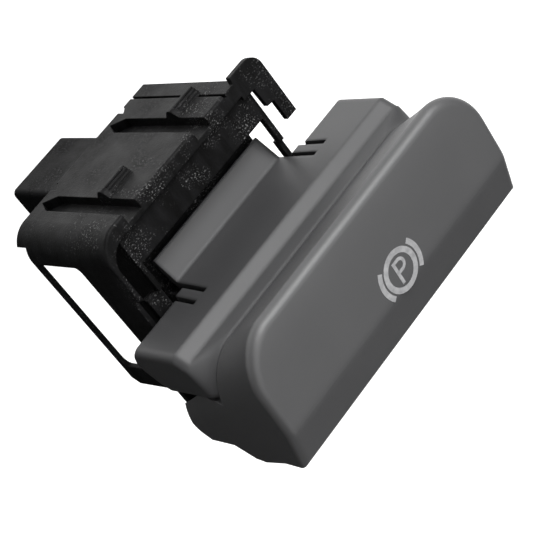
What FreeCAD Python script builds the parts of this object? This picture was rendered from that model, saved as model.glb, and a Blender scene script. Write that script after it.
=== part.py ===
import FreeCAD, Part
import math
import os
import Sketcher

# Electric parking brake switch: a rocking paddle in a bezel, on a switch box with a rear bracket.
# X is the width, Y runs to the rear, Z is up. The origin lies on the bezel's rear face, at the level
# of the bracket's upper rim, a little to the left of the paddle's middle. All sizes are in millimetres.

SIZES = [
    # Paddle
    ("paddle_mid", 1.3, "middle of paddle, bezel and rocker across the width"),
    ("paddle_half", 34.5, "half width of the paddle over its ends"),
    ("paddle_wall", 2.1, "wall of the paddle cap"),
    ("paddle_corner", 9.5, "plan radius of the paddle's rear corners"),
    ("paddle_low", 17.7, "height of the cap's lower rear edge"),
    ("seam_y", -2.6, "place of the cap's lower rear edge"),
    ("rim_y", 4.6, "place of the cap's upper rear rim"),
    ("rim_z", 33.6, "height of the cap's upper rear rim"),
    ("fold_y", -16.0, "place of the fold between the sign face and the front facet"),
    ("fold_z", 31.6, "height of the fold"),
    ("nose_y", -24.6, "place of the nose"),
    ("nose_z", 28.7, "height of the nose"),
    ("nose_lip", 4.2, "height of the lip under the nose"),
    ("waist_y", -24.1, "place of the cheek's hollow under the nose"),
    ("waist_z", 23.2, "height of the cheek's hollow"),
    ("chin_y", -25.0, "place of the cheek's foremost swelling"),
    ("chin_z", 17.0, "height of the cheek's foremost swelling"),
    ("heel_y", -21.5, "place of the cheek's lower front edge"),
    ("heel_top_z", 10.8, "height where the cheek's lower front edge starts"),
    ("heel_low_z", 4.4, "height where the cheek's lower front edge ends"),
    ("cheek_toe_y", -17.6, "place of the cheek's lower bend"),
    ("cheek_toe_z", 1.6, "height of the cheek's lower bend"),
    ("cheek_low_y", -13.6, "place of the cheek's lowest point"),
    ("cheek_low_z", 0.5, "height of the cheek's lowest point"),
    ("rim_round", 1.6, "rounding of the cap's upper edges"),
    ("fold_round", 12.0, "rounding of the fold"),
    # Finger scoop
    ("scoop_wall", 1.6, "wall of the scoop shell"),
    ("scoop_back_y", -16.2, "place of the scoop's rear wall"),
    ("scoop_roof_z", 24.2, "height of the scoop's roof"),
    ("scoop_floor_z", 5.0, "height of the scoop's floor"),
    ("scoop_round", 2.4, "rounding inside the scoop"),
    # Bezel
    ("bezel_half", 33.6, "half width of the bezel at its upper edge"),
    ("bezel_flare", 0.3, "how much each end of the bezel comes in at its lower edge"),
    ("bezel_wall", 1.8, "wall of the bezel"),
    ("bezel_edge", 1.6, "radius of the bezel's lower rear corners"),
    ("bezel_low", -0.6, "height of the bezel's lower edge"),
    ("ridge_low_z", 11.3, "height where the sloping shoulder starts"),
    ("ridge_rise", 2.2, "rise and run of the sloping shoulder"),
    ("collar_lean", 2.7, "place of the collar's upper edge in front of the rear wall"),
    ("collar_round", 9.6, "plan radius of the collar's upper edge"),
    ("bezel_top", 16.9, "height of the bezel's upper edge"),
    ("side_depth", 9.4, "depth of the bezel's side walls"),
    ("side_low_z", 2.2, "height where the side wall's front edge ends"),
    ("side_keel_z", -2.2, "height of the side wall's lowest point"),
    ("seam_gap", 0.8, "gap between the bezel's front edge and the cheek"),
    # Tongue, fingers and slots of the bezel
    ("tongue_left", -15.5, "left edge of the tongue"),
    ("tongue_right", 18.5, "right edge of the tongue"),
    ("tongue_lean", 0.9, "how far the slots and the tongue's edges come in at their lower ends"),
    ("tongue_low", -4.4, "height of the tongue's bend"),
    ("foot_reach", 5.3, "reach of the tongue's foot"),
    ("foot_drop", 2.4, "fall of the foot over its reach"),
    ("foot_thick", 1.3, "thickness of the foot"),
    ("slot_wide", 1.0, "width of the slots beside the tongue"),
    ("slot_top", 5.4, "height of the slots' upper ends"),
    ("finger_wide", 2.1, "width of a clip finger"),
    ("finger_low", -2.0, "height of a clip finger's tip"),
    # Base frame and pivot
    ("frame_gap", 0.3, "gap between base frame and bezel"),
    ("frame_thick", 1.5, "thickness of the base frame"),
    ("pivot_y", -10.5, "place of the pivot"),
    ("pivot_z", 12.0, "height of the pivot"),
    ("pin_radius", 1.5, "radius of a pivot pin"),
    ("pin_fit", 0.04, "radial clearance of the pivot pins"),
    ("ear_thick", 3.0, "thickness of a pivot ear"),
    ("ear_radius", 2.4, "outer radius of a pivot ear"),
    ("ear_gap", 0.3, "side gap between boss and ear"),
    # Paddle lever
    ("boss_half", 10.0, "half length of the lever's pivot boss"),
    ("boss_radius", 3.4, "radius of the pivot boss"),
    ("pin_depth", 6.0, "depth of a pivot pin in the boss"),
    ("column_half", 6.0, "half width of the lever's column"),
    ("column_deep", 5.4, "depth of the lever's column"),
    ("lever_gap", 0.15, "glue gap between lever and cap"),
    ("head_front_y", -14.6, "front of the lever's head"),
    ("head_back_y", -2.4, "rear of the lever's head"),
    ("head_low", 26.4, "underside of the lever's head"),
    ("bar_low", 0.3, "underside of the lever's foot bar"),
    ("bar_thick", 2.6, "thickness of the foot bar"),
    ("foot_radius", 1.3, "radius of the lever's feet"),
    ("foot_half", 2.0, "half length of the lever's feet"),
    # Plungers
    ("throw", 4.5, "distance from the pivot to each plunger"),
    ("plunger_side", 6.0, "distance of each plunger from the rocker's middle"),
    ("foot_play", 0.15, "play between a foot and its plunger"),
    ("head_radius", 2.8, "radius of a plunger's head"),
    ("head_thick", 1.5, "thickness of a plunger's head"),
    ("shaft_radius", 2.0, "radius of a plunger's shaft"),
    ("shaft_fit", 0.05, "radial clearance of a plunger's shaft"),
    ("head_play", 0.25, "radial play of a plunger's head"),
    ("plunger_play", 0.6, "travel left over a tactile switch"),
    ("well_depth", 5.0, "depth of a plunger's spring well"),
    ("wire_radius", 0.3, "radius of the spring wire"),
    ("spring_turns", 3.5, "turns of a plunger spring"),
    # Light guide and lamp
    ("guide_radius", 1.7, "radius of the light guide's rod"),
    ("guide_head", 4.4, "radius of the light guide's head"),
    ("guide_head_thick", 1.0, "thickness of the light guide's head"),
    ("guide_play", 0.1, "radial play of the light guide"),
    ("guide_low", 1.0, "lower end of the light guide"),
    ("lamp_side", 2.0, "length of the sign lamp"),
    ("lamp_tall", 0.9, "height of the sign lamp"),
    # Switch housing
    ("body_left", -16.0, "left side of the housing"),
    ("body_right", 17.9, "right side of the housing"),
    ("body_front", -19.5, "front of the housing"),
    ("body_back", 16.2, "rear of the housing"),
    ("body_top", -1.5, "top of the housing"),
    ("body_low", -28.0, "lower rim of the housing"),
    ("body_wall", 1.5, "wall of the housing"),
    ("deck_low", -12.0, "underside of the housing's deck"),
    ("flange_left", -20.0, "left edge of the top flange"),
    ("flange_right", 19.5, "right edge of the top flange"),
    ("flange_front", 3.4, "front edge of the top flange"),
    ("flange_thick", 1.5, "thickness of the top flange"),
    ("shelf_left", -22.7, "left edge of the shelf in front of the flange"),
    ("shelf_drop", 0.9, "step from the flange down to the shelf"),
    ("notch_left", -19.0, "left side of the notch for the tongue"),
    ("notch_right", 18.4, "right side of the notch"),
    ("notch_back", 9.5, "rear side of the notch"),
    ("notch_gap", 0.5, "gap around the tongue in the notch"),
    ("column_side", 5.0, "side of the screw columns in the housing"),
    # Floor, board and switches
    ("floor_thick", 2.0, "thickness of the housing floor"),
    ("post_radius", 1.5, "radius of the board posts"),
    ("post_tall", 6.4, "height of the board posts"),
    ("board_thick", 1.6, "thickness of the circuit board"),
    ("board_gap", 0.3, "gap around the circuit board"),
    ("button_side", 4.5, "side of a tactile switch"),
    ("button_body", 1.8, "height of a tactile switch's body"),
    ("button_radius", 0.9, "radius of a tactile switch's button"),
    ("button_tall", 1.0, "height of a tactile switch's button"),
    ("screw_radius", 1.1, "radius of a screw's shank"),
    ("screw_long", 8.0, "length of a screw's shank"),
    ("screw_head", 2.1, "radius of a screw's head"),
    ("screw_head_tall", 1.3, "height of a screw's head"),
    ("screw_play", 0.1, "play around a screw"),
    ("screw_inset", 0.3, "distance of a floor screw's head from the housing's sides"),
    # Connector
    ("shroud_left", -11.2, "left side of the connector"),
    ("shroud_right", 5.1, "right side of the connector"),
    ("shroud_front", 7.5, "front of the connector"),
    ("shroud_back", 18.0, "rear of the connector"),
    ("shroud_low", -46.4, "mouth of the connector"),
    ("shroud_wall", 1.3, "wall of the connector"),
    ("shroud_base", 2.0, "base of the connector"),
    ("shroud_round", 1.2, "rounding of the connector's edges"),
    ("contact_side", 0.64, "side of a contact pin"),
    ("contact_pitch", 2.54, "pitch of the contact pins"),
    ("contact_low", -42.0, "tip of the contact pins"),
    ("contact_play", 0.1, "play around a contact pin"),
    # Rear bracket
    ("plate_right", 17.8, "right end of the bracket's plate"),
    ("plate_back", 19.5, "rear face of the bracket"),
    ("plate_thick", 3.0, "thickness of the bracket's plate"),
    ("plate_low", -30.0, "lower edge of the bracket's plate"),
    ("plate_top", 0.0, "upper edge of the bracket's plate"),
    ("leg_outer", -25.0, "outer face of the bracket's leg"),
    ("leg_thick", 1.0, "thickness of the leg"),
    ("leg_front", -19.4, "front end of the leg"),
    ("leg_low", -26.9, "lower edge of the leg"),
    ("leg_step_y", 5.6, "place of the step in the leg's upper edge"),
    ("leg_step", 2.6, "height of the step in the leg's upper edge"),
    ("leg_corner", 5.5, "outer radius of the leg's bend"),
    ("leg_drop_y", 17.0, "place where the bend's lower edge steps up to the leg"),
    ("window_low", -26.0, "lower edge of the leg's window"),
    ("window_top", -11.7, "upper edge of the leg's window"),
    ("window_back", 13.8, "rear edge of the leg's window"),
    ("window_front", -14.5, "front edge of the leg's window"),
    ("window_round", 1.8, "radius of the window's corners"),
    ("groove_deep", 2.0, "depth of the keyed grooves"),
    ("groove_a", 6.1, "middle of the right groove"),
    ("groove_b", -14.9, "middle of the left groove"),
    ("groove_half", 1.95, "half width of a groove"),
    ("groove_low", -25.5, "height where a groove starts to narrow"),
    ("groove_tip", -29.0, "height of a groove's tip"),
    ("bump_low", -12.3, "height of a ribbed bump's lower foot"),
    ("bump_wide", 4.4, "width of a ribbed bump"),
    ("bump_tall", 1.5, "height of a ribbed bump above the plate"),
    ("bump_long", 6.9, "length of a ribbed bump"),
    ("rib_deep", 0.3, "depth of the channels between a bump's ribs"),
    ("seam_line", 13.6, "left side of the thin joint line in the plate"),
    ("seam_line_wide", 0.6, "width of the joint line"),
    ("seam_line_deep", 0.8, "depth of the joint line"),
    ("nick_wide", 1.8, "width of the nicks in the plate's lower edge"),
    ("nick_tall", 1.9, "height of the nicks"),
    ("nick_deep", 1.2, "depth of the nicks"),
    ("plate_round", 0.6, "rounding of the plate's upper edge"),
    ("hook_reach", 24.5, "outer side of the hook"),
    ("hook_back", 20.8, "rear side of the hook"),
    ("hook_front", 6.1, "front end of the hook"),
    ("hook_thick", 1.2, "thickness of the hook"),
    ("hook_arm", 2.7, "width of the hook's arm"),
    ("hook_base_y", 15.5, "front side of the hook's base"),
    ("hook_round", 3.0, "outer radius of the hook"),
]


class Length:
    """A number of millimetres together with the sheet formula that gives it."""

    def __init__(self, value, formula):
        self.value = value
        self.formula = formula

    def __add__(self, other):
        other = as_length(other)
        return Length(self.value + other.value, f"({self.formula} + {other.formula})")

    def __sub__(self, other):
        other = as_length(other)
        return Length(self.value - other.value, f"({self.formula} - {other.formula})")

    def __mul__(self, other):
        other = as_length(other)
        return Length(self.value * other.value, f"({self.formula} * {other.formula})")

    def __truediv__(self, other):
        other = as_length(other)
        return Length(self.value / other.value, f"({self.formula} / {other.formula})")

    def __neg__(self):
        return Length(-self.value, f"(0 - {self.formula})")


def as_length(item):
    return item if isinstance(item, Length) else Length(float(item), f"{float(item)}")


class Sizes:
    """The named sizes, each one a Length that points at its cell."""


doc = FreeCAD.newDocument("parking_brake_switch")
sheet = doc.addObject("Spreadsheet::Sheet", "Sizes")
s = Sizes()
for row, (name, value, meaning) in enumerate(SIZES, 1):
    sheet.set(f"A{row}", name)
    sheet.set(f"B{row}", str(value))
    sheet.set(f"C{row}", meaning)
    sheet.setAlias(f"B{row}", name)
    setattr(s, name, Length(value, f"Sizes.{name}"))
doc.recompute()

NODES = []
CUTS = []
TOUCH = 0.02
STEPS_A_TURN = 12
WIRE_SIDES = 6


# Helpers for sketches and features

def bind(item, path, length):
    """Ties one property of a feature to the sheet."""
    item.setExpression(path, as_length(length).formula)


def new_body(node):
    body = doc.addObject("PartDesign::Body", node)
    body.Label = node
    NODES.append(body)
    return body


def helper_body(name):
    """A body that only serves as a tool for a node."""
    return doc.addObject("PartDesign::Body", name)


def start_sketch(body, plane, name, offset):
    """An empty sketch on one of the body's own planes, moved along the plane's normal."""
    support = [f for f in body.Origin.OriginFeatures if f.Role == f"{plane}_Plane"][0]
    sketch = body.newObject("Sketcher::SketchObject", name)
    sketch.AttachmentSupport = (support, "")
    sketch.MapMode = "FlatFace"
    bind(sketch, "AttachmentOffset.Base.z", offset)
    return sketch


def hold_point(sketch, geometry, position, across, along):
    """Holds one point of a sketch at sheet values measured from the origin."""
    for kind, length in (("DistanceX", across), ("DistanceY", along)):
        index = sketch.addConstraint(Sketcher.Constraint(kind, -1, 1, geometry, position, length.value))
        bind(sketch, f"Constraints[{index}]", length)


def draw_outline(sketch, corners):
    """Draws a closed outline of straight runs, each corner held by the sheet."""
    corners = [(as_length(a), as_length(b)) for a, b in corners]
    points = [FreeCAD.Vector(a.value, b.value, 0) for a, b in corners]
    for index, point in enumerate(points):
        sketch.addGeometry(Part.LineSegment(point, points[(index + 1) % len(points)]), False)
    for index in range(len(points)):
        following = (index + 1) % len(points)
        sketch.addConstraint(Sketcher.Constraint("Coincident", index, 2, following, 1))
    for index, (across, along) in enumerate(corners):
        hold_point(sketch, index, 1, across, along)


def draw_circles(sketch, centres, radius):
    """Draws equal circles with centres and radius held by the sheet."""
    for index, (across, along) in enumerate(centres):
        across, along = as_length(across), as_length(along)
        centre = FreeCAD.Vector(across.value, along.value, 0)
        sketch.addGeometry(Part.Circle(centre, FreeCAD.Vector(0, 0, 1), radius.value), False)
        hold_point(sketch, index, 3, across, along)
        held = sketch.addConstraint(Sketcher.Constraint("Radius", index, radius.value))
        bind(sketch, f"Constraints[{held}]", radius)


def raise_or_cut(body, plane, name, draw, low, high, cut):
    """Pads or pockets a drawn sketch between two places along the plane's axis."""
    low, high = as_length(low), as_length(high)
    offset = -high if plane == "XZ" else low
    sketch = start_sketch(body, plane, f"{name}_sketch", offset)
    draw(sketch)
    feature = body.newObject("PartDesign::Pocket" if cut else "PartDesign::Pad", name)
    feature.Profile = sketch
    bind(feature, "Length", high - low)
    if cut:
        feature.Reversed = True
        CUTS.append(feature)
    sketch.Visibility = False
    return feature


def pad(body, plane, name, corners, low, high):
    return raise_or_cut(body, plane, name, lambda k: draw_outline(k, corners), low, high, False)


def pocket(body, plane, name, corners, low, high):
    return raise_or_cut(body, plane, name, lambda k: draw_outline(k, corners), low, high, True)


def pad_discs(body, plane, name, centres, radius, low, high):
    return raise_or_cut(body, plane, name, lambda k: draw_circles(k, centres, radius), low, high, False)


def drill(body, plane, name, centres, radius, low, high):
    return raise_or_cut(body, plane, name, lambda k: draw_circles(k, centres, radius), low, high, True)


def rectangle(left, right, low, high):
    """The four corners of an upright rectangle."""
    return [(left, low), (right, low), (right, high), (left, high)]


def edge_middle(edge):
    return edge.valueAt((edge.FirstParameter + edge.LastParameter) / 2)


def round_edges(body, name, radius, places):
    """Rounds, for each place, the edge whose middle is nearest to it."""
    doc.recompute()
    base = body.Tip
    middles = [edge_middle(edge) for edge in base.Shape.Edges]
    chosen = set()
    for place in places:
        place = FreeCAD.Vector(*[as_length(number).value for number in place])
        distances = [(middle - place).Length for middle in middles]
        chosen.add(f"Edge{distances.index(min(distances)) + 1}")
    feature = body.newObject("PartDesign::Fillet", name)
    feature.Base = (base, sorted(chosen))
    bind(feature, "Radius", radius)
    return feature


def middle_of(first, second):
    return (first + second) / 2


def group(node, members):
    """Several solids of one kind in one node."""
    compound = doc.addObject("Part::Compound", node)
    compound.Label = node
    compound.Links = members
    NODES.append(compound)
    return compound


def placed(item, x, y, z):
    for axis, length in zip("xyz", (x, y, z)):
        bind(item, f"Placement.Base.{axis}", length)
    return item


def block(name, left, right, front, back, low, high):
    """A plain block between three pairs of planes."""
    item = doc.addObject("Part::Box", name)
    for path, length in (("Length", right - left), ("Width", back - front), ("Height", high - low)):
        bind(item, path, length)
    return placed(item, left, front, low)


def rod(name, x, y, low, high, radius):
    """An upright rod."""
    item = doc.addObject("Part::Cylinder", name)
    bind(item, "Radius", radius)
    bind(item, "Height", high - low)
    return placed(item, x, y, low)


def fused(name, members):
    item = doc.addObject("Part::MultiFuse", name)
    item.Shapes = members
    return item


# Places worked out from the sizes

paddle_slope = (s.rim_z - s.fold_z) / (s.rim_y - s.fold_y)
inner_top_drop = s.paddle_wall * 1.02
plunger_rear_y = s.pivot_y + s.throw
plunger_front_y = s.pivot_y - s.throw
pull_x = s.paddle_mid - s.plunger_side
push_x = s.paddle_mid + s.plunger_side
foot_z = s.bar_low + s.foot_radius - 0.5
plunger_top = foot_z - s.foot_radius - s.foot_play
floor_low = s.body_low - s.floor_thick
board_low = s.body_low + s.post_tall
board_top = board_low + s.board_thick
button_top = board_top + s.button_body + s.button_tall
plunger_low = button_top + s.plunger_play
frame_half = s.bezel_half - s.bezel_flare - s.bezel_wall - s.frame_gap
frame_back = -s.bezel_wall - s.frame_gap
lever_left = s.paddle_mid - s.boss_half
lever_right = s.paddle_mid + s.boss_half


def across_mid(half):
    """Left and right ends of something centred on the paddle."""
    return s.paddle_mid - half, s.paddle_mid + half


def inner_top(y, gap):
    """Height of the sign face's inner side over a place y, less a gap."""
    return s.fold_z - inner_top_drop - gap + paddle_slope * (y - s.fold_y)


# Paddle cap: sign face, front facet, leaning rear wall and end cheeks in one moulding

def make_paddle_cap():
    outer = helper_body("cap_outer")
    cheek_back = -s.side_depth - s.seam_gap
    side = [
        (s.seam_y, s.paddle_low),
        (s.rim_y, s.rim_z),
        (s.fold_y, s.fold_z),
        (s.nose_y, s.nose_z),
        (s.waist_y, s.waist_z),
        (s.chin_y, s.chin_z),
        (s.chin_y + 0.5, s.chin_z - 2.4),
        (s.heel_y, s.heel_top_z),
        (s.heel_y + 0.3, s.heel_low_z),
        (s.cheek_toe_y, s.cheek_toe_z),
        (s.cheek_low_y, s.cheek_low_z),
        (cheek_back - 0.8, s.cheek_low_z + 1.2),
        (cheek_back, s.cheek_low_z + 3.4),
        (cheek_back, s.paddle_low),
    ]
    left, right = across_mid(s.paddle_half)
    pad(outer, "YZ", "cap_side", side, left, right)
    rear_y = middle_of(s.seam_y, s.rim_y)
    rear_z = middle_of(s.paddle_low, s.rim_z)
    round_edges(outer, "cap_corners", s.paddle_corner,
                [(left, rear_y, rear_z), (right, rear_y, rear_z)])
    round_edges(outer, "cap_fold", s.fold_round, [(0, s.fold_y, s.fold_z)])
    round_rim(outer, "cap_rim", s.rim_round)
    # Core that hollows the cap and opens it to the front between the cheeks
    core = helper_body("cap_core")
    inner_left, inner_right = across_mid(s.paddle_half - s.paddle_wall)
    inner_rear = s.rim_y - s.paddle_wall * 1.6
    nose_inner = s.nose_y + s.paddle_wall
    lip_low = s.nose_z - s.nose_lip
    hollow = [
        (s.seam_y - s.paddle_wall, s.paddle_low),
        (inner_rear, inner_top(inner_rear, 0)),
        (s.fold_y + 0.3, inner_top(s.fold_y + 0.3, 0)),
        (nose_inner, s.nose_z - s.paddle_wall * 0.6),
        (nose_inner, lip_low),
        (s.chin_y - 5, lip_low),
        (s.chin_y - 5, s.cheek_low_z - 5),
        (s.seam_y - s.paddle_wall, s.cheek_low_z - 5),
    ]
    pad(core, "YZ", "cap_hollow", hollow, inner_left, inner_right)
    inner_y = middle_of(s.seam_y - s.paddle_wall, inner_rear)
    inner_z = middle_of(s.paddle_low, inner_top(inner_rear, 0))
    low_z = middle_of(s.paddle_low, s.cheek_low_z - 5)
    places = [(end, y, z) for end in (inner_left, inner_right)
              for y, z in ((inner_y, inner_z), (s.seam_y - s.paddle_wall, low_z))]
    round_edges(core, "cap_core_corners", s.paddle_corner - s.paddle_wall, places)
    shell = doc.addObject("Part::Cut", "cap_shell")
    shell.Base = outer
    shell.Tool = core
    # Skirt that closes the seam behind the bezel
    skirt_left, skirt_right = across_mid(s.bezel_half - s.bezel_wall - s.collar_round)
    skirt_y = -s.collar_lean - s.bezel_wall - s.seam_gap
    skirt_wall = s.paddle_wall * 0.8
    skirt_low = s.ridge_low_z + s.ridge_rise + 0.6
    hook = [
        (skirt_y - skirt_wall, skirt_low),
        (skirt_y, skirt_low),
        (skirt_y, s.paddle_low),
        (s.seam_y - 0.6, s.paddle_low),
        (s.seam_y - 0.6, s.paddle_low + skirt_wall),
        (skirt_y - skirt_wall, s.paddle_low + skirt_wall),
    ]
    skirt = helper_body("cap_skirt_body")
    pad(skirt, "YZ", "cap_skirt", hook, skirt_left, skirt_right)
    cap = fused("paddle_cap", [shell, skirt])
    cap.Label = "paddle_cap"
    NODES.append(cap)


def round_rim(body, name, radius):
    """Rounds the edges round the sign face and the front facet, all but the fold between them."""
    doc.recompute()
    base = body.Tip
    facet_slope = ((s.fold_z - s.nose_z) / (s.fold_y - s.nose_y)).value

    def on_top(point):
        face = s.fold_z.value + paddle_slope.value * (point.y - s.fold_y.value)
        facet = s.nose_z.value + facet_slope * (point.y - s.nose_y.value)
        return abs(point.z - min(face, facet)) < TOUCH

    def across(edge):
        return abs(edge.Vertexes[0].Point.y - edge.Vertexes[-1].Point.y) < TOUCH

    names = []
    for index, edge in enumerate(base.Shape.Edges, 1):
        ends = [vertex.Point for vertex in edge.Vertexes]
        inner = s.nose_y.value + TOUCH < edge_middle(edge).y < s.rim_y.value - TOUCH
        if all(on_top(point) for point in ends + [edge_middle(edge)]) and not (across(edge) and inner):
            names.append(f"Edge{index}")
    feature = body.newObject("PartDesign::Fillet", name)
    feature.Base = (base, names)
    bind(feature, "Radius", radius)


# Paddle base: the shell of the finger scoop between the cheeks

def make_paddle_base():
    body = new_body("paddle_base")
    left, right = across_mid(s.paddle_half - s.paddle_wall - s.lever_gap)
    back = s.scoop_back_y
    wall = s.scoop_wall
    roof = s.scoop_roof_z
    floor = s.scoop_floor_z
    front = s.nose_y + s.paddle_wall + s.lever_gap
    scoop = [
        (front, roof + 0.6),
        (back - 2.4, roof),
        (back, roof - 2.6),
        (back, floor + 3.4),
        (back - 2.3, floor),
        (s.heel_y + 0.6, floor - 0.2),
        (s.heel_y + 0.6, floor - wall),
        (back - 1.6, floor - wall),
        (back + wall, floor + 2.8),
        (back + wall, roof - 2.0),
        (back - 1.8, roof + wall),
        (front, roof + wall + 0.8),
    ]
    pad(body, "YZ", "scoop_shell", scoop, left, right)


# Paddle lever: the rocker that carries the paddle on its pivot and works the plungers

def make_paddle_lever():
    body = new_body("paddle_lever")
    column_front = s.pivot_y - s.column_deep / 2
    column_back = s.pivot_y + s.column_deep / 2
    head = [
        (s.head_front_y, s.head_low),
        (s.head_back_y, s.head_low),
        (s.head_back_y, inner_top(s.head_back_y, s.lever_gap)),
        (s.head_front_y, inner_top(s.head_front_y, s.lever_gap)),
    ]
    pad(body, "YZ", "lever_head", head, lever_left, lever_right)
    pad(body, "YZ", "lever_column", rectangle(column_front, column_back, s.bar_low, s.head_low),
        s.paddle_mid - s.column_half, s.paddle_mid + s.column_half)
    pad_discs(body, "YZ", "lever_boss", [(s.pivot_y, s.pivot_z)], s.boss_radius, lever_left, lever_right)
    bar = rectangle(plunger_front_y - s.foot_radius, plunger_rear_y + s.foot_radius,
                    s.bar_low, s.bar_low + s.bar_thick)
    pad(body, "YZ", "lever_bar", bar, pull_x - s.foot_half, push_x + s.foot_half)
    pad_discs(body, "YZ", "pull_foot", [(plunger_rear_y, foot_z)], s.foot_radius,
              pull_x - s.foot_half, pull_x + s.foot_half)
    pad_discs(body, "YZ", "push_foot", [(plunger_front_y, foot_z)], s.foot_radius,
              push_x - s.foot_half, push_x + s.foot_half)
    bore = s.pin_radius + s.pin_fit
    drill(body, "YZ", "left_pin_bore", [(s.pivot_y, s.pivot_z)], bore, lever_left, lever_left + s.pin_depth)
    drill(body, "YZ", "right_pin_bore", [(s.pivot_y, s.pivot_z)], bore,
          lever_right - s.pin_depth, lever_right)
    drill(body, "XY", "guide_bore", [(s.paddle_mid, s.pivot_y)], s.guide_radius + s.guide_play,
          s.bar_low, s.rim_z)
    head_seat = inner_top(s.pivot_y - s.guide_head, s.lever_gap) - s.guide_head_thick
    drill(body, "XY", "guide_head_seat", [(s.paddle_mid, s.pivot_y)], s.guide_head + s.guide_play,
          head_seat, s.rim_z)


def make_pivot_pins():
    pins = []
    reach = s.ear_thick + s.ear_gap
    for name, low in (("left_pin", lever_left - reach), ("right_pin", lever_right - s.pin_depth + 0.2)):
        pin = doc.addObject("Part::Cylinder", name)
        bind(pin, "Radius", s.pin_radius)
        bind(pin, "Height", reach + s.pin_depth - 0.2)
        pin.Placement.Rotation = FreeCAD.Rotation(FreeCAD.Vector(0, 1, 0), 90)
        pins.append(placed(pin, low, s.pivot_y, s.pivot_z))
    group("pivot_pins", pins)


# Bezel: grey surround with a sloping shoulder, a collar, clip fingers and the tongue's foot

def make_bezel():
    outer = helper_body("bezel_outer")
    shoulder_top = s.ridge_low_z + s.ridge_rise
    side = [
        (0, s.bezel_low),
        (0, s.ridge_low_z),
        (-s.ridge_rise, shoulder_top),
        (-s.collar_lean, s.bezel_top),
        (-s.side_depth, s.bezel_top),
        (-s.side_depth, s.side_low_z),
        (-s.side_depth * 0.85, s.side_low_z - 1.9),
        (-s.side_depth * 0.53, s.side_keel_z + 0.4),
        (-s.side_depth * 0.31, s.side_keel_z),
    ]
    left, right = across_mid(s.bezel_half)
    pad(outer, "YZ", "bezel_side", side, left, right)
    for name, edge, inward in (("left_flare", left, 1), ("right_flare", right, -1)):
        wedge = [
            (edge - inward, s.side_keel_z - 1),
            (edge + s.bezel_flare * inward, s.side_keel_z - 1),
            (edge, shoulder_top),
            (edge - inward, shoulder_top),
        ]
        pocket(outer, "XZ", name, wedge, -s.side_depth - 1, 1)
    doc.recompute()
    rounded = doc.addObject("Part::Fillet", "bezel_rounded")
    rounded.Base = outer
    rounded.Edges = rear_corner_edges(outer.Shape)
    # Space inside: wide under the shoulder, narrower and rounded inside the collar
    hollow = helper_body("bezel_hollow")
    low_left, low_right = across_mid(s.bezel_half - s.bezel_flare - s.bezel_wall)
    high_left, high_right = across_mid(s.bezel_half - s.bezel_wall)
    front = -s.side_depth - s.collar_round
    collar_back = -s.collar_lean - s.bezel_wall
    pad(hollow, "XY", "hollow_high", rectangle(high_left, high_right, front, collar_back),
        s.ridge_low_z, s.bezel_top + 1)
    high_z = middle_of(s.ridge_low_z, s.bezel_top + 1)
    round_edges(hollow, "hollow_corners", s.collar_round - s.bezel_wall,
                [(high_left, collar_back, high_z), (high_right, collar_back, high_z)])
    pad(hollow, "XY", "hollow_low", rectangle(low_left, low_right, front, -s.bezel_wall),
        s.side_keel_z - 1, s.ridge_low_z)
    shell = doc.addObject("Part::Cut", "bezel_shell")
    shell.Base = rounded
    shell.Tool = hollow
    # Tongue with a foot that slopes down to the rear, and a clip finger on each side
    fittings = helper_body("bezel_fittings")
    wall = s.bezel_wall
    tongue = [
        (0, s.slot_top),
        (-wall, s.slot_top),
        (-wall, s.tongue_low - s.foot_thick),
        (s.foot_reach - 0.5, s.tongue_low - s.foot_drop - s.foot_thick),
        (s.foot_reach, s.tongue_low - s.foot_drop),
        (0, s.tongue_low),
    ]
    spare = (s.slot_wide - s.tongue_lean) / 2
    pad(fittings, "YZ", "tongue", tongue, s.tongue_left - spare, s.tongue_right + spare)
    finger = [
        (0, s.slot_top),
        (-wall, s.slot_top),
        (-wall, s.finger_low + 0.4),
        (-wall / 2, s.finger_low),
        (0, s.finger_low + 0.4),
    ]
    slot_low = s.tongue_low - s.foot_drop - s.foot_thick - 0.5
    finger_shift = s.tongue_lean * ((s.slot_top - s.finger_low) / (s.slot_top - slot_low)) / 2
    pitch = s.finger_wide + s.slot_wide
    left_slot = s.tongue_left - s.slot_wide
    from_left = left_slot + s.slot_wide / 2 + finger_shift
    from_right = s.tongue_right + s.slot_wide / 2 - finger_shift
    pad(fittings, "YZ", "left_finger", finger, from_left - pitch, from_left)
    pad(fittings, "YZ", "right_finger", finger, from_right, from_right + pitch)
    slots = helper_body("bezel_slots")
    for name, edge, inward in (("slot_a", left_slot - pitch, 1), ("slot_b", left_slot, 1),
                               ("slot_c", s.tongue_right, -1), ("slot_d", s.tongue_right + pitch, -1)):
        lean = s.tongue_lean * inward
        shape = [(edge, s.slot_top), (edge + s.slot_wide, s.slot_top),
                 (edge + s.slot_wide + lean, slot_low), (edge + lean, slot_low)]
        pad(slots, "XZ", name, shape, -wall - 1, s.foot_reach + 1)
    solid = fused("bezel_solid", [shell, fittings])
    bezel = doc.addObject("Part::Cut", "bezel")
    bezel.Base = solid
    bezel.Tool = slots
    bezel.Label = "bezel"
    NODES.append(bezel)


def rear_corner_edges(shape):
    """Upright rear corner edges with their two radii: tight below, widening up the collar."""
    low, high = s.bezel_edge.value, s.collar_round.value
    shoulder_top = (s.ridge_low_z + s.ridge_rise).value
    picked = []
    for index, edge in enumerate(shape.Edges, 1):
        first, last = (vertex.Point for vertex in (edge.Vertexes[0], edge.Vertexes[-1]))
        middle = edge_middle(edge)
        at_end = abs(middle.x - s.paddle_mid.value) > s.bezel_half.value - s.bezel_flare.value - 1
        at_rear = min(first.y, last.y) > -s.collar_lean.value - TOUCH
        if at_end and at_rear and abs(first.z - last.z) > 1:
            radii = [high if point.z > shoulder_top + 1 else low for point in (first, last)]
            picked.append((index, *radii))
    return picked


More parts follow.
